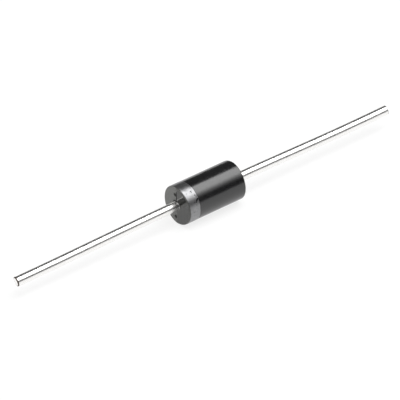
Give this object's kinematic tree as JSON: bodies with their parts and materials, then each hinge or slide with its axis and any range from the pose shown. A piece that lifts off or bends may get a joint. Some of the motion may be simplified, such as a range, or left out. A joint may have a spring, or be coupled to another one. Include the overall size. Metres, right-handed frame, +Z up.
{
  "type": "axial rectifier diode",
  "caption": "Axial rectifier diode: round black epoxy body with a silver cathode band and two straight tinned copper leads, for board or terminal mounting.",
  "frame": {"origin": "centre of the moulded body, on the axis of the leads", "axes": "+X along the axis from the cathode, the banded end, to the anode; +Z up; the mould halves part at the XZ plane"},
  "size_m": [0.0606, 0.0054, 0.0054],
  "materials": {
    "case_epoxy": "black moulding epoxy, semi-gloss on the round side and duller on the ends",
    "band_ink": "silver marking ink, smooth, with pinholes",
    "tinned_copper": "bright tin plating over copper, faint draw lines",
    "silicon": "dark grey, etched edges",
    "solder": "dull grey high-lead solder",
    "silicone_rubber": "milky white, soft sheen"
  },
  "bodies": {
    "root": {"moulded_case": "case_epoxy", "cathode_band": "band_ink", "cathode_lead": "tinned_copper", "anode_lead": "tinned_copper", "silicon_die": "silicon", "cathode_solder": "solder", "anode_solder": "solder", "junction_coating": "silicone_rubber"}
  },
  "joints": []
}
